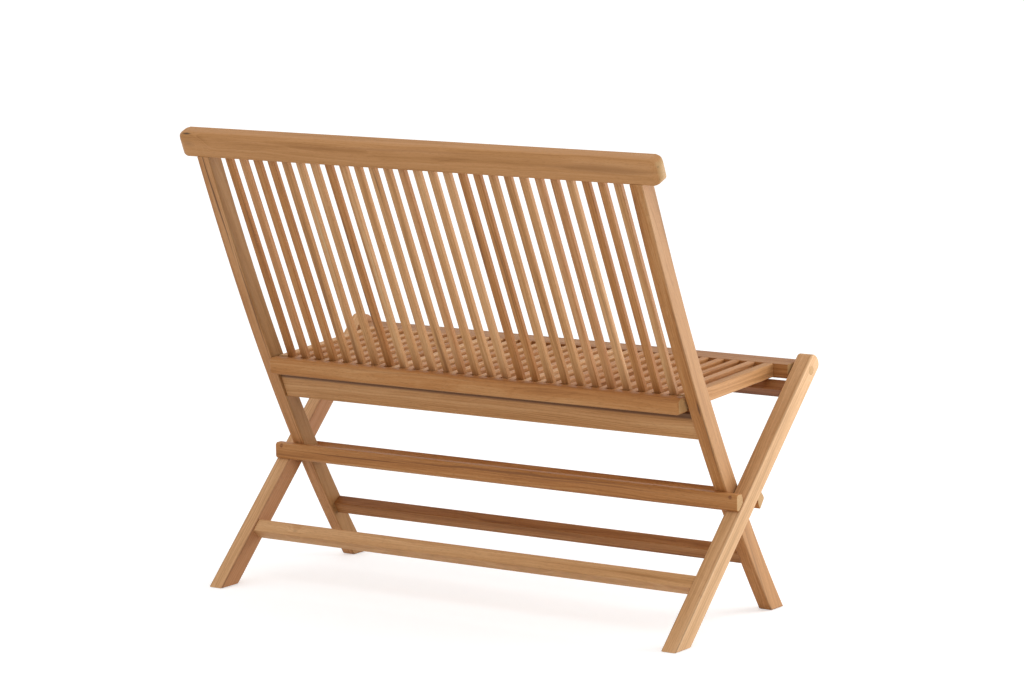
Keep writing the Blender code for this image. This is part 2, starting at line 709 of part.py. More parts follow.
    def seat_front(self, inner):
        across = (-FRONT_RAIL_X, FRONT_RAIL_X)
        front = extruded("seat_front_rail", front_rail_outline(), across, self.parts, SEAT.origin)
        bevelled(front, rims(EASE))
        limits = grow(section(SEAT_SLAT_MID, SEAT_TENON_THICK, FRONT_RAIL_HALF, 2 * SEAT_TENON), FIT)
        slats = [(x, SEAT_SLAT_WIDE) for x in inner]
        slats += [(side * SIDE_SLAT_X, SIDE_SLAT_WIDE) for side, _ in SIDES]
        slack = 2 * (FIT - SLAT_SHOULDER)
        tools = [box("mortise", SEAT, limits, around(x, wide + slack), self.cuts) for x, wide in slats]
        boolean(front, joined("seat_front_mortises", tools, self.cuts))
        end = FRONT_RAIL_X - SEAT_BOLT_IN - PEG_END_GAP
        bolts = [self.bore(SEAT.origin, end, LEG_OUTER, BOLT_R, side) for side, _ in SIDES]
        boolean(front, joined("seat_front_bores", bolts, self.cuts))
        self.finish(front, "seat")

    def seat_comb(self, inner):
        """Inner seat slats glued to the rear rail; they pass between the back slats."""
        across = (-REAR_RAIL_X, REAR_RAIL_X)
        comb = extruded("seat_comb", rear_rail_outline(), across, self.parts, SEAT.origin)
        bevelled(comb, rims(STILE_EASE))
        slats = [self.seat_slat("slat", x, SEAT_SLAT_WIDE, CORNER_BACK + HOUSED, self.cuts) for x in inner]
        boolean(comb, joined("seat_slat_bodies", slats, self.cuts), "UNION")
        return comb

    def side_slats(self, comb):
        rear_end = CORNER_BACK - REAR_RAIL_ROUND - FIT
        limits = grow(section(SEAT_SLAT_MID, SIDE_TENON_TALL, rear_end, 2 * SEAT_TENON), FIT)
        wide = SIDE_TENON_WIDE + 2 * FIT
        tools = [box("mortise", SEAT, limits, around(side * SIDE_SLAT_X, wide), self.cuts)
                 for side, _ in SIDES]
        boolean(comb, joined("seat_side_mortises", tools, self.cuts))
        shoulders = ((SIDE_SLAT_WIDE - SIDE_TENON_WIDE) / 2, 0.0, (SEAT_SLAT_TALL - SIDE_TENON_TALL) / 2)
        for side, word in SIDES:
            slat = self.seat_slat(f"seat_side_{word}", side * SIDE_SLAT_X, SIDE_SLAT_WIDE, rear_end,
                                  self.parts, shoulders)
            self.finish(slat, "seat")

    # Bolts, washers and plugs

    def hardware(self):
        steel, rough = (0.55, 0.54, 0.52), 0.35
        head = STILE_INNER - FIT
        tip = LEG_OUTER - BOLT_SHORT
        dome = [(head - HEAD_TALL * tall, HEAD_R * wide) for tall, wide in HEAD_DOME]
        crossing = [(dome[0][0], 0.0)] + dome + [(head, HEAD_R), (head, BOLT_R), (tip, BOLT_R), (tip, 0.0)]
        inner, seat_head = FRONT_RAIL_X - SEAT_BOLT_IN, LEG_OUTER - RECESS + FIT
        top = seat_head + SEAT_HEAD_TALL
        seat = [(inner, 0.0), (inner, BOLT_R), (seat_head, BOLT_R), (seat_head, SEAT_HEAD_R),
                (seat_head + SEAT_HEAD_SIDE, SEAT_HEAD_R), (top, SEAT_HEAD_FACE), (top, 0.0)]
        plug_face = LEG_OUTER - PLUG_BELOW
        for side, word in SIDES:
            steels = [turned(f"crossing_bolt_{word}", CROSSING, crossing, side, self.parts),
                      turned(f"seat_bolt_{word}", SEAT.origin, seat, side, self.parts),
                      self.washer(f"crossing_washer_{word}", CROSSING, side, STILE_OUTER),
                      self.washer(f"seat_washer_{word}", SEAT.origin, side, FRONT_RAIL_X)]
            for ob in steels:
                self.finish(ob, "leg_frame", steel, rough, 1.0)
            plug = dowel(f"seat_plug_{word}", SEAT.origin, plug_face - PLUG_THICK, plug_face, PLUG_R,
                         side, self.parts)
            self.finish(plug, "leg_frame")

    def washer(self, name, at, side, inner_face):
        """Washer that fills the space between a frame and the leg."""
        near, far, hole = inner_face + FIT, LEG_INNER - FIT, BOLT_R + FIT
        profile = [(near, hole), (near, WASHER_R), (far, WASHER_R), (far, hole)]
        return turned(name, at, profile, side, self.parts, ring=True)


def main():
    bench = Bench()
    bench.leg_frame()
    bench.back_frame()
    bench.seat()
    bench.hardware()


main()
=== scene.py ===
"""Folding teak bench: the look of its wood and fastenings, and a studio round the CAD frame.

Metres, +Z up.  The width runs along X, the sitter faces -Y and the floor is Z = 0.
"""
import json
import math
import random

import bpy
from mathutils import Euler, Matrix, Vector

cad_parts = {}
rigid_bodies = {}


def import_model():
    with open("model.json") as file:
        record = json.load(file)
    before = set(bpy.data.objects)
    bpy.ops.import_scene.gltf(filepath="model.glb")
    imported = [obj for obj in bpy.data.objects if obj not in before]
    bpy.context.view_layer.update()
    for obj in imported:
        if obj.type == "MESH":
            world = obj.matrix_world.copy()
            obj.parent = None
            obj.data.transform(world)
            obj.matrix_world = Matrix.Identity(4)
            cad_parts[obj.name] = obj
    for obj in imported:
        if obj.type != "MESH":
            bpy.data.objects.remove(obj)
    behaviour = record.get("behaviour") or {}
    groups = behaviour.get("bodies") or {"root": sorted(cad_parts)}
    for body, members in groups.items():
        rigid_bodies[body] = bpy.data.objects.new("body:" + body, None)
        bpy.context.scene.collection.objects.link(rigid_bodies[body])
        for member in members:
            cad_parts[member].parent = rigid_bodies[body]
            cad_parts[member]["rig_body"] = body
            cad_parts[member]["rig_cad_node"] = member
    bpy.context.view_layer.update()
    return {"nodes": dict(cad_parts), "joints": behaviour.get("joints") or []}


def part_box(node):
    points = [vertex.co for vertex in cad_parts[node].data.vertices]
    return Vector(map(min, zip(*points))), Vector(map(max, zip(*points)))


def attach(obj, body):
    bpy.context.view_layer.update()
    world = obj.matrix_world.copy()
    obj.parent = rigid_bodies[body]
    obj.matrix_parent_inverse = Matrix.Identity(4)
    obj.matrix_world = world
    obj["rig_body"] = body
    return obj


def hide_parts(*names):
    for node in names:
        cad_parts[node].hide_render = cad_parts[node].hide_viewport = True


bl_info = {
    "name": "Folding Teak Bench",
    "version": (1, 0, 0),
    "blender": (4, 5, 0),
    "location": "View3D > Sidebar > Bench",
    "description": "Dresses the packed frame of a folding teak bench",
    "category": "Object",
}

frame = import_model()
JOINT = {joint["name"]: Vector(joint["pos_m"]) for joint in frame["joints"]}
SEAT_AXIS = JOINT["seat_pivot"]

# Lean of the timbers in the side view, and the drop of the seat towards the back
LEG_LEAN = math.radians(45.41)
SLAT_LEAN = math.atan(0.4336)
STILE_LEAN = math.atan(0.49)
CREST_LEAN = math.atan(0.3896)
SEAT_DROP = math.radians(3.1)

# Back slats and their tenons
SLAT_WIDE, SLAT_THICK = 0.015, 0.010
SLAT_TENON, TENON_THICK = 0.014, 0.006

# Crest rail: its section, and the radii of its long edges and its ends
CREST_TALL, CREST_DEPTH = 0.050, 0.035
CREST_ROUND, CREST_LOW_ROUND = 0.010, 0.004
CREST_END_TOP, CREST_END_SIDE, CREST_END_FOOT = 0.017, 0.0165, 0.014

# Front rail of the seat: half its depth on each side of the seat's axis, and its radii
SEAT_THICK = 0.027
FRONT_RAIL_HALF, FRONT_RAIL_NOSE = 0.0275, 0.008
FRONT_RAIL_HEEL, FRONT_RAIL_END = 0.0015, 0.002

# Rear rail of the seat: its front and back as distances from the seat's axis, and its radii
REAR_RAIL_FRONT, REAR_RAIL_BACK, REAR_RAIL_TALL = 0.3187, 0.352, 0.0315
REAR_RAIL_NOSE, REAR_RAIL_HEEL, REAR_RAIL_LOW_ROUND = 0.014, 0.011, 0.004
REAR_RAIL_END_FOOT, REAR_RAIL_END_SIDE = 0.007, 0.005

# Seat slats: housed in the rear rail, and tenoned into the front rail with a shoulder all round
SEAT_SLAT_WIDE, SEAT_SLAT_TALL, SIDE_SLAT_WIDE = 0.0165, 0.026, 0.020
SEAT_SLAT_ROUND = 0.0018
SLAT_BELOW_TOP = 0.0002
SLAT_HOUSING = 0.017
SEAT_TENON, TENON_SHOULDER = 0.012, 0.006
GLUE_LINE = 0.0003

# Radii of the feet, and of the stop rails' long edges and ends
FOOT_ROUND = 0.0028
STOP_RAIL_ROUND, STOP_RAIL_END = 0.0042, 0.0065

# Peg ends in the rear stop rail: how far they stand proud, their height and their two places
PLUG_RADIUS, PLUG_DEEP, PLUG_ROUND = 0.0038, 0.004, 0.0004
PLUG_PROUD, PLUG_HIGH = 0.0003, 0.2436
PLUG_PLACES = {"left": 0.5166, "right": -0.5165}

# Modelling: the least length of a long edge, how near a plane counts as in it, where a rail's
# section is cut, and the sharpest angle that is still shaded smooth
LONG = 0.1
NEAR = 0.0005
SECTION_AT = 0.1
SQUARE_CUT = math.radians(35)

# Studio: the key softbox, the light from the white room round the bench, and how much brighter
# the floor looks than it lights
KEY_PLACE, KEY_AIM, KEY_WIDE = (-1.45, -1.15, 0.65), Vector((-0.5, 0, 0.45)), 1.2
ROOM_LIGHT = 0.84
FLOOR_LIFT = 0.46
FLOOR_WIDE, FLOOR_SINK = 80, 0.0005

# Camera, from the photograph's own perspective; its width in pixels and the sensor's in mm
PHOTO_WIDE = 1024
SENSOR = 36.0
FOCAL_PIXELS = 4011.5
CAMERA_PLACE = (-4.310, 6.037, 1.662)
CAMERA_YAW, CAMERA_PITCH, CAMERA_ROLL = (math.radians(a) for a in (35.32, 9.00, -1.01))


# The wood of each piece

# Teak, each as dark streak, latewood, body and pale sapwood side
TEAK = {
    "cream": ("A3744A", "CA9866", "D8A776", "E8BC8D"),
    "straw": ("9A6C3E", "C28E5A", "D09D6A", "E0B381"),
    "honey": ("8F6133", "B98450", "C8935E", "D8A976"),
    "even": ("9E6A3A", "BC8650", "C68F5A", "D09C69"),
    "rose": ("87562C", "B37B49", "C38B58", "D3A170"),
    "tan": ("7F4E26", "AB713B", "BA7F47", "CB9660"),
    "brown": ("6A3F1D", "96602E", "A56D39", "B7834F"),
    "umber": ("5C3518", "865127", "935C30", "A67142"),
}
CUT_END = "C9AC7A"
KNOT_EYE = "5A3A22"

# The wood picked for each back slat, from the right end to the left
BACK_SLAT_WOOD = (
    "honey", "tan", "tan", "straw", "rose", "rose", "honey", "honey", "honey",
    "tan", "tan", "straw", "straw", "honey", "rose", "straw", "straw", "honey",
    "straw", "tan", "straw", "straw", "honey", "tan", "tan", "rose", "tan")
SEAT_SLAT_WOOD = ("honey", "rose", "tan", "straw", "rose", "tan")

# Streaks and splits: place across the piece, start and end along it, half width, depth of
# colour and colour
STREAKS = {
    "leg_left": [(-0.006, -0.30, 0.34, 0.0020, 0.30, "A8763F")],
    "leg_right": [(0.0095, -0.50, 0.34, 0.0024, 0.45, "A5683A")],
    "stile_left": [
        (0.0020, 0.14, 0.62, 0.0030, 0.85, "5F3A1E"),
        (0.0085, -0.06, 0.36, 0.0030, 0.75, "6B431F"),
        (0.0110, -0.45, 0.10, 0.0026, 0.25, "86592E")],
    "stile_right": [
        (0.0115, -0.22, 0.06, 0.0016, 0.75, "5E3E26"),
        (0.008, -0.034, 0.034, 0.0026, 0.80, "4A301E")],
    "rear_stop_rail": [
        (0.0085, -0.56, 0.50, 0.0034, 0.70, "7A4A25"),
        (0.0030, -0.50, 0.10, 0.0026, 0.55, "85522B"),
        (0.0045, 0.10, 0.56, 0.0024, 0.75, "744520")],
    "crest_rail": [
        (0.0155, 0.495, 0.530, 0.0024, 0.85, "3E3024"),
        (-0.004, -0.62, -0.22, 0.0110, 0.50, "96683C"),
        (0.0100, -0.30, 0.30, 0.0040, 0.30, "A06E42")],
    "seat_rear_rail": [
        (0.004, -0.30, 0.45, 0.0020, 0.45, "8A5A30"),
        (-0.010, -0.2, 0.5, 0.0025, 0.3, "8A5A30")],
    "back_slat_04": [(0.002, -0.30, 0.25, 0.0022, 0.45, "8A6036")],
    "back_slat_10": [(0.001, -0.25, 0.30, 0.0030, 0.55, "7A5028")],
    "back_slat_11": [(-0.003, -0.05, 0.24, 0.0028, 0.60, "6F4A2C")],
    "back_slat_16": [(0.001, -0.26, -0.06, 0.0050, 0.60, "855A34")],
    "back_slat_17": [(0.002, 0.14, 0.26, 0.0022, 0.60, "6A452A")],
    "back_slat_19": [
        (-0.003, -0.20, 0.24, 0.0020, 0.50, "946A3C"),
        (0.004, -0.26, 0.26, 0.0020, 0.40, "E6CDA0")],
    "back_slat_20": [(-0.004, -0.30, 0.26, 0.0036, 0.65, "69452A")],
    "back_slat_22": [
        (0.003, -0.10, 0.26, 0.0024, 0.45, "E8D0A6"),
        (0.000, -0.30, -0.06, 0.0070, 0.60, "8A5C36")],
    "back_slat_23": [(-0.002, -0.30, 0.20, 0.0030, 0.45, "7E522E")],
    "back_slat_27": [(0.002, -0.10, 0.26, 0.0030, 0.45, "72462A")],
}

# Painted shade on the foot of every back slat, darker towards the lower rail
SLAT_FOOT_PAINTED_SHADE = (0.0, -0.37, -0.09, 0.016, 0.45, "8C5A2E")

# Knots: place in the timber's own axes, radius and depth of colour
KNOTS = {
    "crest_rail": [
        ((0.512, 0.020, -0.004), 0.013, 0.25),
        ((-0.538, 0.012, 0.006), 0.004, 0.75),
        ((-0.537, 0.006, -0.016), 0.003, 0.75)],
    "seat_rear_rail": [((-0.462, 0.340, -0.004), 0.005, 0.7)],
    "rear_stretcher": [((0.405, 0.008, 0.004), 0.008, 0.6)],
}

# Painted light and shade on one side of a piece: axis, where it starts, depth of colour and
# colour. The right leg and stile get a paler outer side where the key light falls, the left leg
# and stile a darker inner side where they lie in shade, and the lower back rail a dark line of
# painted shadow under the rear rail of the seat.
PAINTED_SIDES = {
    "leg_left": ("Z", 0.0110, 0.55, "A0633A"),
    "leg_right": ("Z", 0.0118, 0.15, "EBD3AB"),
    "stile_left": ("Z", 0.0115, 0.50, "826334"),
    "stile_right": ("Z", 0.0105, 0.15, "EBD3AB"),
    # Painted shadow: a dark line where the seat's rear rail shades the lower back rail
    "lower_back_rail": ("Y", 0.0155, 0.85, "4E2C15"),
}

# Place of the tree's heart, for the pieces where it isn't drawn at random
HEARTS = {"crest_rail": (0, -0.07, 0.004), "seat_rear_rail": (0, 0.27, 0.01)}

# Patterns in the wood, in lumps per metre with the grain and twice across it. The grain sways
# over 250 mm, and the brown bands are 18 mm wide and 700 mm long. Fibres are drawn 2 mm wide and
# pores 0.8 mm wide and 12 mm long, coarser than the real 0.3 mm ones, so that they show.
SWAY = (4, 16, 16)
BANDS = (1.4, 55, 55)
FIBRES = (9, 520, 520)
PORES = (85, 1250, 1250)

# Growth rings per metre, about 3 mm apart with finer lines between them
RINGS = 300

# Sideways reach of the sway, which moves the grain by up to 4 mm, and how far the rings drift
# in a metre of timber
SWAY_REACH = 0.016
RING_DRIFT = 0.03

# Shares of rings, fibres and bands in the figure of the wood, and its shift towards dark
RING_SHARE, FIBRE_SHARE, BAND_SHARE, FIGURE_SHIFT = 0.30, 0.28, 0.52, -0.05

# A knot in terms of its radius: reach and push of the rings round it, and radius of its eye,
# both reaches twice as long with the grain
KNOT_REACH, KNOT_PUSH, KNOT_CORE = 2.4, 1.5, 0.8

# Width of the step from a timber's body to its side painted paler or darker
SIDE_STEP = 0.002

# Tool marks on steel per metre, 1 mm apart, coarser than real ones, so that they show
TOOL_MARKS = 900


# Small tools for modelling by hand

def deselect():
    if bpy.context.mode != "OBJECT":
        bpy.ops.object.mode_set(mode="OBJECT")
    bpy.ops.object.select_all(action="DESELECT")


def activate(ob):
    deselect()
    ob.select_set(True)
    bpy.context.view_layer.objects.active = ob


def pick(ob, kind, test):
    """Selects the edges or faces of the active mesh whose corners and centre pass the test."""
    bpy.ops.object.mode_set(mode="EDIT")
    bpy.ops.mesh.select_mode(type=kind)
    bpy.ops.mesh.select_all(action="DESELECT")
    bpy.ops.object.mode_set(mode="OBJECT")
    mesh = ob.data
    for item in {"EDGE": mesh.edges, "FACE": mesh.polygons}[kind]:
        spots = [mesh.vertices[i].co for i in item.vertices]
        item.select = test(spots, sum(spots, Vector()) / len(spots))
    bpy.ops.object.mode_set(mode="EDIT")


def everything(spots, mid):
    return True


def along_x(spots, mid):
    return abs(spots[0].x - spots[1].x) > LONG


def along_y(spots, mid):
    return abs(spots[0].y - spots[1].y) > LONG


def along_z(spots, mid):
    return abs(spots[0].z - spots[1].z) > LONG


def bar(name, size, centre=(0, 0, 0)):
    """A squared-up length of timber."""
    deselect()
    bpy.ops.mesh.primitive_cube_add(size=1, location=centre)
    ob = bpy.context.active_object
    ob.name = ob.data.name = name
    ob.scale = size
    bpy.ops.object.transform_apply(location=True, rotation=True, scale=True)
    return ob


def another(pattern, name):
    """A copy of a piece, with a mesh of its own."""
    ob = pattern.copy()
    ob.data = pattern.data.copy()
    ob.name = ob.data.name = name
    bpy.context.scene.collection.objects.link(ob)
    return ob


def ease(ob, test, width, segments):
    """Rounds the edges that pass the test."""
    pick(ob, "EDGE", test)
    bpy.ops.mesh.bevel(offset=width, segments=segments, affect="EDGES", profile=0.5)
    bpy.ops.object.mode_set(mode="OBJECT")


def round_off(ob, widest, segments, widths):
    """Rounds every edge at once, each by the width of the first test that it passes."""
    activate(ob)
    mesh = ob.data
    weight = mesh.attributes.new("bevel_weight_edge", "FLOAT", "EDGE")
    for edge in mesh.edges:
        spots = [mesh.vertices[i].co for i in edge.vertices]
        mid = (spots[0] + spots[1]) / 2
        width = next(wide for test, wide in widths if test(spots, mid))
        weight.data[edge.index].value = width / widest
    soft = ob.modifiers.new("rounded_edges", "BEVEL")
    soft.limit_method = "WEIGHT"
    soft.width = widest
    soft.segments = segments
    bpy.ops.object.modifier_apply(modifier=soft.name)


def cut_tenon(ob, test, shoulder, reach):
    """Sets the end face that passes the test in by the shoulder and draws it out to a tenon."""
    pick(ob, "FACE", test)
    bpy.ops.mesh.inset(thickness=shoulder)
    bpy.ops.mesh.extrude_region_move(TRANSFORM_OT_translate={"value": reach})
    bpy.ops.object.mode_set(mode="OBJECT")


def set_down(ob, lean, place):
    """Turns a piece made upright along Z, or flat along Y, about X and sets it in its place."""
    ob.data.transform(Matrix.Translation(place) @ Matrix.Rotation(lean, 4, "X"))


def finish_piece(ob, body, paint, slot, *nodes):
    """Shades the flats flat and the rounds round, paints the piece and hangs it on its body."""
    activate(ob)
    bpy.ops.object.shade_smooth_by_angle(angle=SQUARE_CUT)
    soft = ob.modifiers.new("even_shading", "WEIGHTED_NORMAL")
    soft.keep_sharp = True
    bpy.ops.object.modifier_apply(modifier=soft.name)
    ob.data.materials.clear()
    ob.data.materials.append(paint)
    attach(ob, body)
    if nodes:
        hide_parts(*nodes)


def worked_copy(name):
    """A merged copy of a CAD node, with its triangles dissolved into flats."""
    deselect()
    ob = another(frame["nodes"][name], name + "_worked")
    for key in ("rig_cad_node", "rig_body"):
        del ob[key]
    ob.parent = None
    ob.matrix_world = Matrix.Identity(4)
    activate(ob)
    bpy.ops.object.mode_set(mode="EDIT")
    bpy.ops.mesh.select_all(action="SELECT")
    bpy.ops.mesh.remove_doubles(threshold=0.00001)
    bpy.ops.mesh.dissolve_limited(angle_limit=math.radians(0.3))
    bpy.ops.object.mode_set(mode="OBJECT")
    return ob


def drawn_through(name, long_ease, end_ease):
    """A rail drawn afresh through its CAD section, with softened long edges and ends."""
    ob = worked_copy(name)
    low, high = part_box(name)
    pick(ob, "FACE", everything)
    bpy.ops.mesh.bisect(plane_co=(SECTION_AT, 0, 0), plane_no=(1, 0, 0), use_fill=True,
                        clear_outer=True)
    bpy.ops.object.mode_set(mode="OBJECT")
    pick(ob, "FACE", lambda spots, mid: min(spot.x for spot in spots) < SECTION_AT - NEAR)
    bpy.ops.mesh.delete(type="FACE")
    bpy.ops.mesh.select_all(action="SELECT")
    bpy.ops.transform.translate(value=(high.x - SECTION_AT, 0, 0))
    bpy.ops.mesh.extrude_region_move(TRANSFORM_OT_translate={"value": (low.x - high.x, 0, 0)})
    bpy.ops.mesh.select_all(action="SELECT")
    bpy.ops.mesh.normals_make_consistent(inside=False)
    bpy.ops.object.mode_set(mode="OBJECT")
    round_off(ob, end_ease, 4, ((along_x, long_ease), (everything, end_ease)))
    return ob


def middle(node_name):
    low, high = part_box(node_name)
    return (low + high) / 2


# Finishes

def linear(code):
    """Linear colour of an sRGB hex value."""
    parts = [int(code[i:i + 2], 16) / 255 for i in (0, 2, 4)]
    return tuple(p / 12.92 if p <= 0.04045 else ((p + 0.055) / 1.055) ** 2.4 for p in parts)


def rgba(code):
    return (*linear(code), 1.0)


def node(tree, kind, inputs=None, **settings):
    """Adds a shader node with its settings, values and links."""
    made = tree.nodes.new("ShaderNode" + kind)
    for key, value in settings.items():
        setattr(made, key, value)
    for socket, value in (inputs or {}).items():
        if isinstance(value, bpy.types.NodeSocket):
            tree.links.new(value, made.inputs[socket])
        else:
            made.inputs[socket].default_value = value
    return made


def ramp(made, *stops):
    """Sets the stops of a colour ramp as (position, sRGB hex) pairs."""
    band = made.color_ramp
    while len(band.elements) > 1:
        band.elements.remove(band.elements[-1])
    for i, (position, code) in enumerate(stops):
        stop = band.elements[0] if i == 0 else band.elements.new(position)
        stop.position = position
        stop.color = rgba(code)
    return made


def timber_turn(lean):
    """Turn whose X lies along a timber that leans back by this angle in the side view."""
    along = Vector((0, math.sin(lean), math.cos(lean)))
    across = Vector((0, math.cos(lean), -math.sin(lean)))
    return Matrix((along, across, along.cross(across))).transposed().to_euler()


ACROSS = Euler((0, 0, 0))
UP_THE_LEG = timber_turn(-LEG_LEAN)
UP_THE_SLAT = timber_turn(SLAT_LEAN)
UP_THE_STILE = timber_turn(STILE_LEAN)
ALONG_THE_SEAT = timber_turn(math.pi / 2 + SEAT_DROP)


def stretched_noise(tree, place, stretch, detail, output="Fac"):
    """Noise drawn out with the grain; the stretch gives its lumps per metre on each axis."""
    drawn = node(tree, "VectorMath", {0: place, 1: stretch}, operation="MULTIPLY").outputs[0]
    return node(tree, "TexNoise", {"Vector": drawn, "Scale": 1, "Detail": detail}).outputs[output]


def knot(tree, timber, spot, size, depth):
    """Push of a knot on the rings round it, and the share of its dark eye."""
    near = node(tree, "VectorMath", {0: timber, 1: spot}, operation="SUBTRACT").outputs[0]
    oval = node(tree, "VectorMath", {0: near, 1: (0.5, 1, 1)}, operation="MULTIPLY").outputs[0]
    far = node(tree, "VectorMath", {0: oval}, operation="LENGTH").outputs["Value"]
    bulge = node(tree, "MapRange", {"Value": far, "From Min": 0.0, "From Max": size * KNOT_REACH,
                                    "To Min": size * KNOT_PUSH, "To Max": 0.0},
                 interpolation_type="SMOOTHERSTEP").outputs[0]
    eye = node(tree, "MapRange", {"Value": far, "From Min": 0.0, "From Max": size * KNOT_CORE,
                                  "To Min": depth, "To Max": 0.0},
               interpolation_type="SMOOTHSTEP").outputs[0]
    return bulge, eye


def streak(tree, grain, across, start, end, half, depth):
    """Share of a streak or split that runs with the grain and tapers at both ends."""
    axes = node(tree, "SeparateXYZ", {0: grain})
    side = node(tree, "Math", {0: axes.outputs["Z"], 1: across}, operation="SUBTRACT").outputs[0]
    off = node(tree, "Math", {0: side}, operation="ABSOLUTE").outputs[0]
    along = node(tree, "Math", {0: axes.outputs["X"], 1: (start + end) / 2},
                 operation="SUBTRACT").outputs[0]
    along = node(tree, "Math", {0: along}, operation="ABSOLUTE").outputs[0]
    wide = node(tree, "MapRange", {"Value": along, "From Min": 0.0, "From Max": (end - start) / 2,
                                   "To Min": half, "To Max": 0.0},
                interpolation_type="SMOOTHSTEP").outputs[0]
    inside = node(tree, "Math", {0: wide, 1: off}, operation="SUBTRACT").outputs[0]
    return node(tree, "MapRange", {"Value": inside, "From Min": 0.0, "From Max": half * 0.7,
                                   "To Min": 0.0, "To Max": depth}).outputs[0]


def painted_side(tree, timber, axis, start, depth):
    """Share of the painted light and shade beyond a plane near one side of the timber."""
    side = node(tree, "SeparateXYZ", {0: timber}).outputs[axis]
    return node(tree, "MapRange", {"Value": side, "From Min": start,
                                   "From Max": start + SIDE_STEP,
                                   "To Min": 0.0, "To Max": depth}).outputs[0]


def cut_ends(tree, normal, turn):
    """Share of end grain, half where a face looks along the grain and none on the sides."""
    face = node(tree, "Mapping", {"Vector": normal, "Rotation": turn},
                vector_type="TEXTURE").outputs[0]
    ends = node(tree, "SeparateXYZ", {0: face}).outputs["X"]
    size = node(tree, "Math", {0: ends}, operation="ABSOLUTE").outputs[0]
    return node(tree, "MapRange", {"Value": size, "From Min": 0.7, "From Max": 0.95,
                                   "To Min": 0.0, "To Max": 0.50}).outputs[0]


def teak(name, wood, seed, turn, centre, painted_shades=()):
    """Oiled and sanded teak: straight, ring-porous grain under a low waxy sheen.

    The growth rings show as soft lines along the piece and as arcs on its cut ends, with
    broad brown bands, short dark pores and a colour that differs from piece to piece.  Its
    knots, streaks, heart and a side painted with light and shade are looked up by the piece's
    name.
    """
    draw = random.Random(seed)
    dark, late, body, pale = TEAK[wood]
    paint = bpy.data.materials.new(name + "_oiled_teak")
    paint.use_nodes = True
    tree = paint.node_tree
    shader = tree.nodes["Principled BSDF"]
    place = node(tree, "TexCoord")
    # The timber's own axes: X with the grain, Y and Z across it
    timber = node(tree, "Mapping", {"Vector": place.outputs["Object"], "Location": centre,
                                    "Rotation": turn}, vector_type="TEXTURE").outputs[0]
    # Each seed takes its wood from another part of the pattern
    moved = node(tree, "VectorMath", {0: timber, 1: (seed * 0.731 % 5, seed * 0.377 % 3, 0)},
                 operation="ADD").outputs[0]
    sway = stretched_noise(tree, moved, SWAY, 2, "Color")
    centred = node(tree, "VectorMath", {0: sway, 1: (0.5, 0.5, 0.5)},
                   operation="SUBTRACT").outputs[0]
    grain = node(tree, "VectorMath", {0: centred, 1: (0, SWAY_REACH, SWAY_REACH), 2: timber},
                 operation="MULTIPLY_ADD").outputs[0]
    # Distance from the heart of the tree, which lies outside the piece
    heart = HEARTS.get(name)
    if not heart:
        heart = (0, draw.choice((-1, 1)) * draw.uniform(0.03, 0.09),
                 draw.choice((-1, 1)) * draw.uniform(0.04, 0.10))
    taper = node(tree, "VectorMath", {0: grain, 1: (RING_DRIFT, 1, 1), 2: heart},
                 operation="MULTIPLY_ADD").outputs[0]
    radius = node(tree, "VectorMath", {0: taper}, operation="LENGTH").outputs["Value"]
    eyes = []
    for spot, size, depth in KNOTS.get(name, ()):
        bulge, eye = knot(tree, timber, spot, size, depth)
        radius = node(tree, "Math", {0: radius, 1: bulge}, operation="ADD").outputs[0]
        eyes.append(eye)
    rings = node(tree, "TexNoise", {"W": radius, "Scale": RINGS, "Detail": 3, "Roughness": 0.55},
                 noise_dimensions="1D").outputs[0]
    fibre = stretched_noise(tree, grain, FIBRES, 3)
    band = stretched_noise(tree, moved, BANDS, 2)
    figure = FIGURE_SHIFT
    for pattern, share in ((rings, RING_SHARE), (fibre, FIBRE_SHARE), (band, BAND_SHARE)):
        figure = node(tree, "Math", {0: pattern, 1: share, 2: figure},
                      operation="MULTIPLY_ADD").outputs[0]
    tint = ramp(node(tree, "ValToRGB", {"Fac": figure}), (0.26, dark), (0.42, late),
                (0.51, body), (0.68, pale)).outputs["Color"]
    # Open pores, short dark dashes
    speck = stretched_noise(tree, grain, PORES, 1)
    pores = node(tree, "MapRange", {"Value": speck, "From Min": 0.34, "From Max": 0.42,
                                    "To Min": 0.32, "To Max": 0.0}).outputs[0]
    layers = [(pores, dark)]
    # Painted shade passed in, such as on the slats' feet, then the streaks and splits of the piece
    for *line, code in (*painted_shades, *STREAKS.get(name, ())):
        layers.append((streak(tree, grain, *line), code))
    for eye in eyes:
        layers.append((eye, KNOT_EYE))
    # Painted light on the key-lit side of some pieces, painted shade on the shaded side of others
    if name in PAINTED_SIDES:
        *edge, code = PAINTED_SIDES[name]
        layers.append((painted_side(tree, timber, *edge), code))
    # Cut ends are paler and yellower
    layers.append((cut_ends(tree, place.outputs["Normal"], turn), CUT_END))
    for share, code in layers:
        # A Mix node has its factor at 0, its two colours at 6 and 7 and its result at 2
        tint = node(tree, "Mix", {0: share, 6: tint, 7: rgba(code)}, data_type="RGBA").outputs[2]
    tree.links.new(tint, shader.inputs["Base Color"])
    # Pale wood is a little glossier than dark wood
    shine = node(tree, "MapRange", {"Value": figure, "From Min": 0.3, "From Max": 0.7,
                                    "To Min": 0.62, "To Max": 0.50}).outputs[0]
    tree.links.new(shine, shader.inputs["Roughness"])
    relief = node(tree, "Math", {0: pores, 1: -2.0, 2: fibre},
                  operation="MULTIPLY_ADD").outputs[0]
    bump = node(tree, "Bump", {"Height": relief, "Strength": 0.25, "Distance": 0.0003})
    tree.links.new(bump.outputs[0], shader.inputs["Normal"])
    shader.inputs["IOR"].default_value = 1.47
    shader.inputs["Specular IOR Level"].default_value = 0.35
    return paint


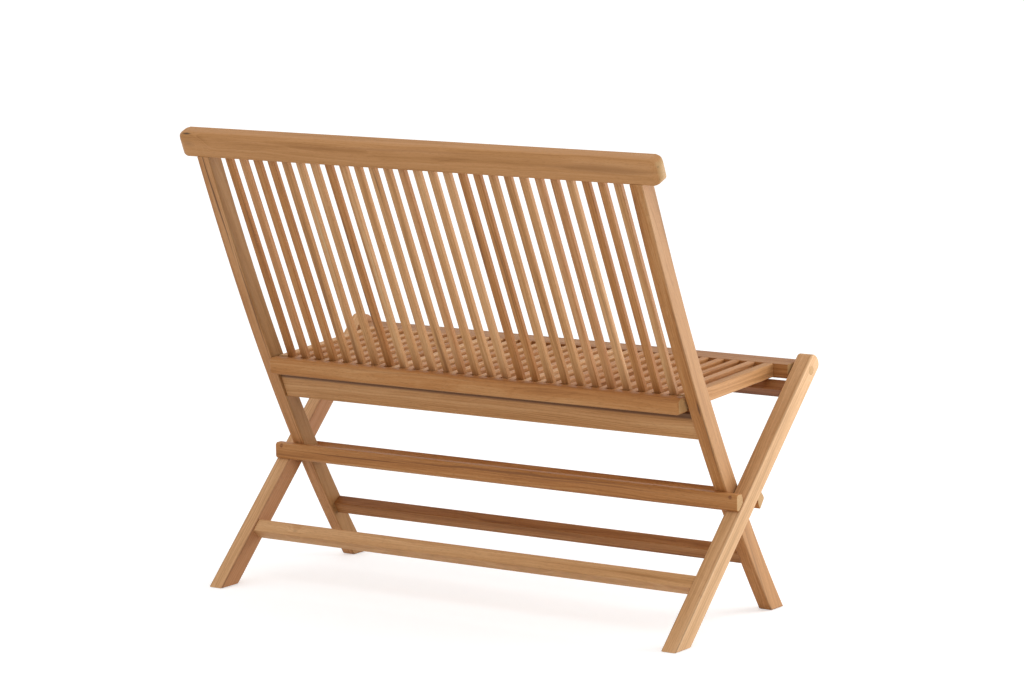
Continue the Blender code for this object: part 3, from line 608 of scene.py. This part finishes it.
def steel(name):
    """Stainless steel, turned and brushed: pale grey, its gloss broken up by fine tool marks."""
    paint = bpy.data.materials.new(name)
    paint.use_nodes = True
    tree = paint.node_tree
    shader = tree.nodes["Principled BSDF"]
    place = node(tree, "TexCoord")
    marks = node(tree, "TexNoise", {"Vector": place.outputs["Object"], "Scale": TOOL_MARKS,
                                    "Detail": 3}).outputs[0]
    tone = ramp(node(tree, "ValToRGB", {"Fac": marks}), (0.3, "9A9893"), (0.7, "C4C2BD"))
    tree.links.new(tone.outputs[0], shader.inputs["Base Color"])
    rough = node(tree, "MapRange", {"Value": marks, "To Min": 0.28, "To Max": 0.42})
    tree.links.new(rough.outputs[0], shader.inputs["Roughness"])
    shader.inputs["Metallic"].default_value = 1.0
    return paint


# The bench

# Timbers worked up from their CAD nodes: name, body, wood, seed and the way the grain runs
TIMBERS = (
    ("leg_left", "leg_frame", "cream", 3, UP_THE_LEG),
    ("leg_right", "leg_frame", "cream", 8, UP_THE_LEG),
    ("stile_left", "back_frame", "rose", 21, UP_THE_STILE),
    ("stile_right", "back_frame", "tan", 26, UP_THE_STILE),
    ("rear_stretcher", "leg_frame", "straw", 31, ACROSS),
    ("front_stretcher", "back_frame", "brown", 35, ACROSS),
    ("lower_back_rail", "back_frame", "honey", 37, ACROSS),
    ("seat_support_rail", "leg_frame", "umber", 41, ACROSS),
    ("rear_stop_rail", "leg_frame", "tan", 43, ACROSS),
    ("front_stop_rail", "back_frame", "tan", 47, ACROSS),
)


class BenchSettings(bpy.types.PropertyGroup):
    """Sizes and colours that a user would change"""
    edge_round: bpy.props.FloatProperty(
        name="Eased edge", description="Radius of the sanded edges of the back slats",
        default=0.0015, min=0.0002, max=0.003, unit="LENGTH")
    floor_tint: bpy.props.FloatVectorProperty(
        name="Floor", description="Colour of the studio floor", subtype="COLOR", size=3,
        default=linear("E6E6E6"), min=0, max=1)
    key_power: bpy.props.FloatProperty(
        name="Key light", description="Power of the key softbox in watts",
        default=15, min=0, max=200, unit="POWER")


class BENCH_OT_back_slats(bpy.types.Operator):
    """Shapes one back slat with its tenons and copies it to each place"""
    bl_idname = "bench.back_slats"
    bl_label = "Back slats"

    def execute(self, context):
        names = sorted(n for n in frame["nodes"] if n.startswith("back_slat_"))
        low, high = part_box(names[0])
        whole = (high.z - low.z - TENON_THICK * math.sin(SLAT_LEAN)) / math.cos(SLAT_LEAN)
        long = whole - 2 * SLAT_TENON
        pattern = bar("slat_pattern", (SLAT_WIDE, SLAT_THICK, long))
        ease(pattern, along_z, context.scene.bench.edge_round, 3)
        for end in (-1, 1):
            cut_tenon(pattern, lambda spots, mid: mid.z * end > long / 2 - NEAR,
                      (SLAT_THICK - TENON_THICK) / 2, (0, 0, end * SLAT_TENON))
        for i, (name, wood) in enumerate(zip(names, BACK_SLAT_WOOD)):
            ob = another(pattern, name + "_worked")
            set_down(ob, -SLAT_LEAN, middle(name))
            # The foot of each slat gets painted shade, darker towards the lower rail
            paint = teak(name, wood, 40 + i * 7, UP_THE_SLAT, middle(name), [SLAT_FOOT_PAINTED_SHADE])
            finish_piece(ob, "back_frame", paint, "teak_slat", name)
        bpy.data.objects.remove(pattern)
        return {"FINISHED"}


class BENCH_OT_crest_rail(bpy.types.Operator):
    """Shapes the crest rail with its rounded top and ends"""
    bl_idname = "bench.crest_rail"
    bl_label = "Crest rail"

    def execute(self, context):
        low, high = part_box("crest_rail")
        ob = bar("crest_rail_worked", (high.x - low.x, CREST_DEPTH, CREST_TALL))
        half = CREST_TALL / 2
        round_off(ob, CREST_END_TOP, 8, (
            (lambda s, m: along_x(s, m) and m.z < 0, CREST_LOW_ROUND),
            (along_x, CREST_ROUND),
            (lambda s, m: m.z < NEAR - half, CREST_END_FOOT),
            (lambda s, m: m.z < half - NEAR, CREST_END_SIDE),
            (everything, CREST_END_TOP)))
        set_down(ob, -CREST_LEAN, middle("crest_rail"))
        paint = teak("crest_rail", "even", 5, ACROSS, middle("crest_rail"))
        finish_piece(ob, "back_frame", paint, "teak_frame", "crest_rail")
        return {"FINISHED"}


class BENCH_OT_seat(bpy.types.Operator):
    """Shapes the seat: front rail, rear rail, inner slats and side slats"""
    bl_idname = "bench.seat"
    bl_label = "Seat"

    def front_rail(self):
        low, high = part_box("seat_front_rail")
        ob = bar("seat_front_rail_worked", (high.x - low.x, 2 * FRONT_RAIL_HALF, SEAT_THICK))
        ease(ob, lambda s, m: along_x(s, m) and m.y < 0, FRONT_RAIL_NOSE, 5)
        ease(ob, lambda s, m: along_x(s, m) and m.y > FRONT_RAIL_HALF - NEAR, FRONT_RAIL_HEEL, 2)
        ease(ob, lambda s, m: abs(m.x) > high.x - NEAR and not along_x(s, m), FRONT_RAIL_END, 2)
        set_down(ob, -SEAT_DROP, SEAT_AXIS)
        paint = teak("seat_front_rail", "brown", 61, ACROSS, SEAT_AXIS)
        finish_piece(ob, "seat", paint, "teak_frame", "seat_front_rail")

    def rear_rail(self):
        low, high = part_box("seat_comb")
        top = SEAT_THICK / 2
        deep = REAR_RAIL_BACK - REAR_RAIL_FRONT
        ob = bar("seat_rear_rail", (high.x - low.x, deep, REAR_RAIL_TALL),
                 (0, REAR_RAIL_FRONT + deep / 2, top - REAR_RAIL_TALL / 2))
        back = REAR_RAIL_BACK - NEAR
        foot = top - REAR_RAIL_TALL + NEAR
        round_off(ob, REAR_RAIL_NOSE, 6, (
            (lambda s, m: along_x(s, m) and m.z > 0 and m.y < back, REAR_RAIL_NOSE),
            (lambda s, m: along_x(s, m) and m.z > 0, REAR_RAIL_HEEL),
            (along_x, REAR_RAIL_LOW_ROUND),
            (lambda s, m: m.z < foot, REAR_RAIL_END_FOOT),
            (everything, REAR_RAIL_END_SIDE)))
        set_down(ob, -SEAT_DROP, SEAT_AXIS)
        paint = teak("seat_rear_rail", "tan", 67, ACROSS, SEAT_AXIS)
        finish_piece(ob, "seat", paint, "teak_frame", "seat_comb")

    def slat(self, name, wide, first, last):
        """One seat slat, its long edges eased and its front end cut to a tenon."""
        ob = bar(name, (wide, last - first, SEAT_SLAT_TALL),
                 (0, (first + last) / 2, SEAT_THICK / 2 - SLAT_BELOW_TOP - SEAT_SLAT_TALL / 2))
        ease(ob, along_y, SEAT_SLAT_ROUND, 3)
        cut_tenon(ob, lambda s, m: m.y < first + NEAR, TENON_SHOULDER, (0, -SEAT_TENON, 0))
        return ob

    def place_slat(self, ob, x, name, wood, seed, *nodes):
        """Sets a seat slat down at its place along X and finishes it."""
        place = SEAT_AXIS + Vector((x, 0, 0))
        set_down(ob, -SEAT_DROP, place)
        paint = teak(name, wood, seed, ALONG_THE_SEAT, place)
        finish_piece(ob, "seat", paint, "teak_slat", *nodes)

    def execute(self, context):
        self.front_rail()
        self.rear_rail()
        first = FRONT_RAIL_HALF + GLUE_LINE
        pattern = self.slat("seat_pattern", SEAT_SLAT_WIDE, first, REAR_RAIL_FRONT + SLAT_HOUSING)
        # Each inner slat runs between two back slats
        backs = sorted(middle(n).x for n in frame["nodes"] if n.startswith("back_slat_"))
        draw = random.Random(5)
        for i, (left, right) in enumerate(zip(backs, backs[1:])):
            ob = another(pattern, f"seat_slat_{i + 1:02d}")
            self.place_slat(ob, (left + right) / 2, ob.name, draw.choice(SEAT_SLAT_WOOD),
                            300 + i * 5)
        bpy.data.objects.remove(pattern)
        for cad, seed in (("seat_side_left", 91), ("seat_side_right", 97)):
            ob = self.slat(cad + "_worked", SIDE_SLAT_WIDE, first, REAR_RAIL_FRONT - GLUE_LINE)
            self.place_slat(ob, middle(cad).x, cad, "honey", seed, cad)
        return {"FINISHED"}


class BENCH_OT_frames(bpy.types.Operator):
    """Works the legs, the stiles and the rails between them"""
    bl_idname = "bench.frames"
    bl_label = "Frames"

    def execute(self, context):
        for name, body, wood, seed, turn in TIMBERS:
            if "stop" in name:
                ob = drawn_through(name, STOP_RAIL_ROUND, STOP_RAIL_END)
            else:
                ob = worked_copy(name)
            if "leg" in name or "stile" in name:
                # Feet blunted all round
                ease(ob, lambda s, m: s[0].z < NEAR and s[1].z < NEAR, FOOT_ROUND, 3)
            paint = teak(name, wood, seed, turn, middle(name))
            finish_piece(ob, body, paint, "teak_frame", name)
        self.rail_plugs()
        return {"FINISHED"}

    def rail_plugs(self):
        """The ends of the pegs that show as dots in the rear face of the rear stop rail."""
        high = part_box("rear_stop_rail")[1]
        for word, x in PLUG_PLACES.items():
            deselect()
            bpy.ops.mesh.primitive_cylinder_add(
                vertices=24, radius=PLUG_RADIUS, depth=PLUG_DEEP,
                location=(x, high.y + PLUG_PROUD - PLUG_DEEP / 2, PLUG_HIGH),
                rotation=(math.pi / 2, 0, 0))
            bpy.ops.object.transform_apply(location=True, rotation=True, scale=True)
            ob = bpy.context.active_object
            ob.name = ob.data.name = "rail_plug_" + word
            # The rim of the end that shows
            ease(ob, lambda s, m: m.y > high.y and abs(s[0].y - s[1].y) < NEAR, PLUG_ROUND, 2)
            paint = teak(ob.name, "umber", 15, ACROSS, middle("rear_stop_rail"))
            finish_piece(ob, "leg_frame", paint, "teak_frame")


class BENCH_OT_fastenings(bpy.types.Operator):
    """Finishes the bolts, washers, pegs and plugs"""
    bl_idname = "bench.fastenings"
    bl_label = "Fastenings"

    def execute(self, context):
        bright = steel("turned_stainless_steel")
        for name, cad in frame["nodes"].items():
            if "bolt" in name or "washer" in name:
                cad.data.materials.clear()
                cad.data.materials.append(bright)
            elif "peg" in name or "plug" in name:
                turn = ACROSS if "plug" in name else UP_THE_LEG
                cad.data.materials.clear()
                cad.data.materials.append(teak(name, "tan", len(name) * 3, turn, middle(name)))
        return {"FINISHED"}


class BENCH_OT_studio(bpy.types.Operator):
    """Sets the pale floor, the white room, the key softbox and the camera"""
    bl_idname = "bench.studio"
    bl_label = "Studio"

    def seen_directly(self, tree):
        """1 for what the camera sees, also in gloss or through glass, 0 for light on the bench."""
        ray = node(tree, "LightPath")
        gloss = node(tree, "Math", {0: ray.outputs["Is Camera Ray"],
                                    1: ray.outputs["Is Glossy Ray"]},
                     operation="MAXIMUM").outputs[0]
        return node(tree, "Math", {0: gloss, 1: ray.outputs["Is Transmission Ray"]},
                    operation="MAXIMUM").outputs[0]

    def floor(self, context):
        """Pale matt floor that looks white and keeps the shadow of the bench."""
        deselect()
        bpy.ops.mesh.primitive_plane_add(size=FLOOR_WIDE, location=(0, 0, -FLOOR_SINK))
        ob = context.active_object
        ob.name = "studio_floor"
        paint = bpy.data.materials.new("matt_white_paint")
        paint.use_nodes = True
        tree = paint.node_tree
        shader = tree.nodes["Principled BSDF"]
        shader.inputs["Base Color"].default_value = (*context.scene.bench.floor_tint, 1)
        shader.inputs["Roughness"].default_value = 0.9
        shader.inputs["Specular IOR Level"].default_value = 0.0
        shader.inputs["Emission Color"].default_value = (1, 1, 1, 1)
        lift = node(tree, "Math", {0: self.seen_directly(tree), 1: FLOOR_LIFT},
                    operation="MULTIPLY")
        tree.links.new(lift.outputs[0], shader.inputs["Emission Strength"])
        ob.data.materials.append(paint)

    def room(self, context):
        """White room, which looks whiter than it lights."""
        world = bpy.data.worlds.new("studio")
        context.scene.world = world
        world.use_nodes = True
        tree = world.node_tree
        sky = tree.nodes["Background"]
        power = node(tree, "MapRange", {"Value": self.seen_directly(tree),
                                        "To Min": ROOM_LIGHT, "To Max": 1.0})
        tree.links.new(power.outputs[0], sky.inputs["Strength"])
        sky.inputs["Color"].default_value = (1, 1, 1, 1)

    def softbox(self, context):
        """Soft lamp close to the right end, so that its light falls off along the bench."""
        data = bpy.data.lights.new("key_softbox", "AREA")
        data.shape = "DISK"
        data.size = KEY_WIDE
        data.energy = context.scene.bench.key_power
        ob = bpy.data.objects.new("key_softbox", data)
        context.scene.collection.objects.link(ob)
        ob.location = KEY_PLACE
        ob.rotation_euler = (KEY_AIM - Vector(KEY_PLACE)).to_track_quat("-Z", "Y").to_euler()
        ob.visible_camera = False

    def camera(self, context):
        """Camera where the photograph was taken, with its lens."""
        data = bpy.data.cameras.new("camera")
        data.sensor_width = SENSOR
        data.lens = FOCAL_PIXELS / PHOTO_WIDE * SENSOR
        ob = bpy.data.objects.new("camera", data)
        context.scene.collection.objects.link(ob)
        ob.location = CAMERA_PLACE
        turn = (Matrix.Rotation(math.pi + CAMERA_YAW, 4, "Z")
                @ Matrix.Rotation(math.pi / 2 - CAMERA_PITCH, 4, "X")
                @ Matrix.Rotation(CAMERA_ROLL, 4, "Z"))
        ob.rotation_euler = turn.to_euler()
        context.scene.camera = ob

    def execute(self, context):
        self.floor(context)
        self.room(context)
        self.softbox(context)
        self.camera(context)
        context.scene.view_settings.view_transform = "Standard"
        return {"FINISHED"}


class BENCH_PT_panel(bpy.types.Panel):
    """Lists the settings and the steps of the bench"""
    bl_label = "Folding teak bench"
    bl_space_type = "VIEW_3D"
    bl_region_type = "UI"
    bl_category = "Bench"

    def draw(self, context):
        column = self.layout.column()
        for name in ("edge_round", "floor_tint", "key_power"):
            column.prop(context.scene.bench, name)
        for step in STEPS:
            column.operator(step.bl_idname)


STEPS = (BENCH_OT_studio, BENCH_OT_frames, BENCH_OT_crest_rail, BENCH_OT_back_slats,
         BENCH_OT_seat, BENCH_OT_fastenings)
CLASSES = (BenchSettings, *STEPS, BENCH_PT_panel)


def register():
    for cls in CLASSES:
        bpy.utils.register_class(cls)
    bpy.types.Scene.bench = bpy.props.PointerProperty(type=BenchSettings)


def unregister():
    del bpy.types.Scene.bench
    for cls in reversed(CLASSES):
        bpy.utils.unregister_class(cls)


def main():
    register()
    bpy.ops.bench.studio()
    bpy.ops.bench.frames()
    bpy.ops.bench.crest_rail()
    bpy.ops.bench.back_slats()
    bpy.ops.bench.seat()
    bpy.ops.bench.fastenings()


if __name__ == "__main__":
    main()
